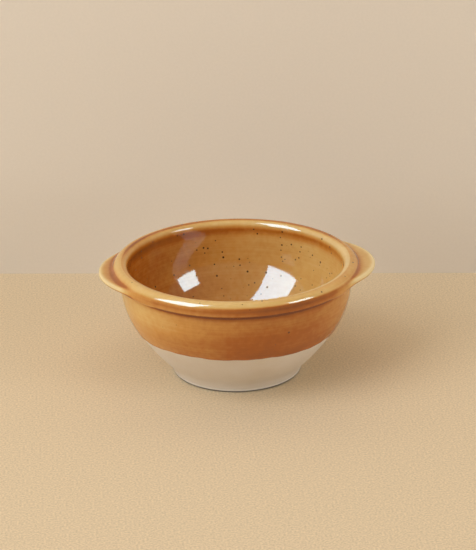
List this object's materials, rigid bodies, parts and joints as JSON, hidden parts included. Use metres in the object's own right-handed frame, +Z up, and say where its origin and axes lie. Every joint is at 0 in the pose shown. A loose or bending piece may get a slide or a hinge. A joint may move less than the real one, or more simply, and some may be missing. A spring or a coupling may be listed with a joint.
{
  "type": "lug soup bowl",
  "caption": "Round stoneware soup bowl with a rolled rim, a flat lug at each side, a turned foot and amber glaze over a bare lower wall.",
  "frame": {"origin": "middle of the foot on the surface that the bowl stands on", "axes": "+X through the right lug, so the lugs lie along X; +Z up, along the axis the bowl was turned on"},
  "size_m": [0.1592, 0.14, 0.0674],
  "materials": {
    "stoneware": "bare fired clay, satin",
    "amber_glaze": "gloss amber glaze that breaks pale on edges, with iron specks"
  },
  "bodies": {
    "root": {"bowl_body": "stoneware", "lug_left": "stoneware", "lug_right": "stoneware", "glaze_lining": "amber_glaze", "glaze_coat": "amber_glaze"}
  },
  "joints": []
}
